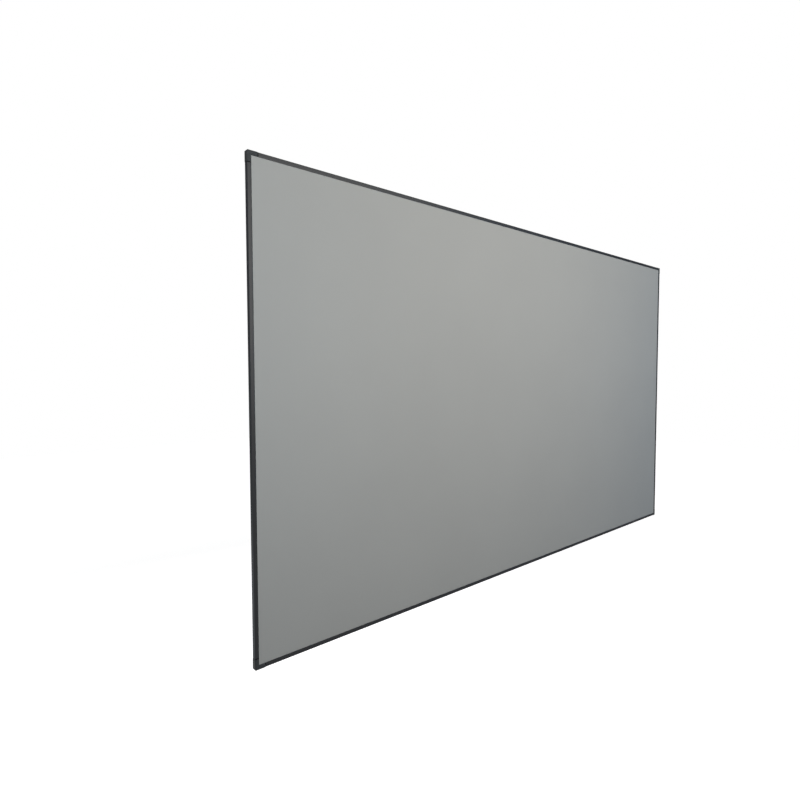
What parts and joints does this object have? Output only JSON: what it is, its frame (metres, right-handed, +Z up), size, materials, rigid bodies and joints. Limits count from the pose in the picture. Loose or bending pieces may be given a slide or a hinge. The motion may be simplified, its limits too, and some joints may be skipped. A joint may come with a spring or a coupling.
{
  "type": "fixed frame projector screen",
  "caption": "Wide wall-mounted projector screen: a grey membrane sprung tight over a slim black frame with capped corners, on rear wall hangers.",
  "frame": {"origin": "centre of the bounding box", "axes": "+X to the picture's right seen from the front, the picture faces -Y, +Y into the wall, +Z up"},
  "size_m": [2.237, 0.0248, 1.268],
  "materials": {
    "membrane": "matte coated sheet",
    "trim": "black anodised, satin",
    "cap": "fine moulded grain",
    "rail": "matte black powder coat",
    "rod": "glass fibre rod, satin",
    "plated_steel": "zinc plated",
    "screw": "black oxide",
    "foot": "moulded nylon"
  },
  "bodies": {
    "root": {"screen_membrane": "membrane", "support_bar": "rail", "rail_top_left": "rail", "trim_top_left": "trim", "tension_rod_top_left": "rod", "rail_top_right": "rail", "trim_top_right": "trim", "tension_rod_top_right": "rod", "rail_right": "rail", "trim_right": "trim", "tension_rod_right": "rod", "rail_bottom_right": "rail", "trim_bottom_right": "trim", "tension_rod_bottom_right": "rod", "rail_bottom_left": "rail", "trim_bottom_left": "trim", "tension_rod_bottom_left": "rod", "rail_left": "rail", "trim_left": "trim", "tension_rod_left": "rod", "corner_cap_top_left": "cap", "corner_bracket_top_left": "plated_steel", "bracket_screw_top_left_1": "screw", "bracket_screw_top_left_2": "screw", "bracket_screw_top_left_3": "screw", "bracket_screw_top_left_4": "screw", "wall_hanger_top_left": "plated_steel", "corner_cap_top_right": "cap", "corner_bracket_top_right": "plated_steel", "bracket_screw_top_right_1": "screw", "bracket_screw_top_right_2": "screw", "bracket_screw_top_right_3": "screw", "bracket_screw_top_right_4": "screw", "wall_hanger_top_right": "plated_steel", "corner_cap_bottom_right": "cap", "corner_bracket_bottom_right": "plated_steel", "bracket_screw_bottom_right_1": "screw", "bracket_screw_bottom_right_2": "screw", "bracket_screw_bottom_right_3": "screw", "bracket_screw_bottom_right_4": "screw", "wall_hanger_bottom_right": "plated_steel", "corner_cap_bottom_left": "cap", "corner_bracket_bottom_left": "plated_steel", "bracket_screw_bottom_left_1": "screw", "bracket_screw_bottom_left_2": "screw", "bracket_screw_bottom_left_3": "screw", "bracket_screw_bottom_left_4": "screw", "wall_hanger_bottom_left": "plated_steel", "splice_bar_top": "plated_steel", "support_bar_foot_top": "foot", "splice_screw_top_1": "screw", "splice_screw_top_2": "screw", "splice_screw_top_3": "screw", "splice_screw_top_4": "screw", "splice_bar_bottom": "plated_steel", "support_bar_foot_bottom": "foot", "splice_screw_bottom_1": "screw", "splice_screw_bottom_2": "screw", "splice_screw_bottom_3": "screw", "splice_screw_bottom_4": "screw"}
  },
  "joints": []
}
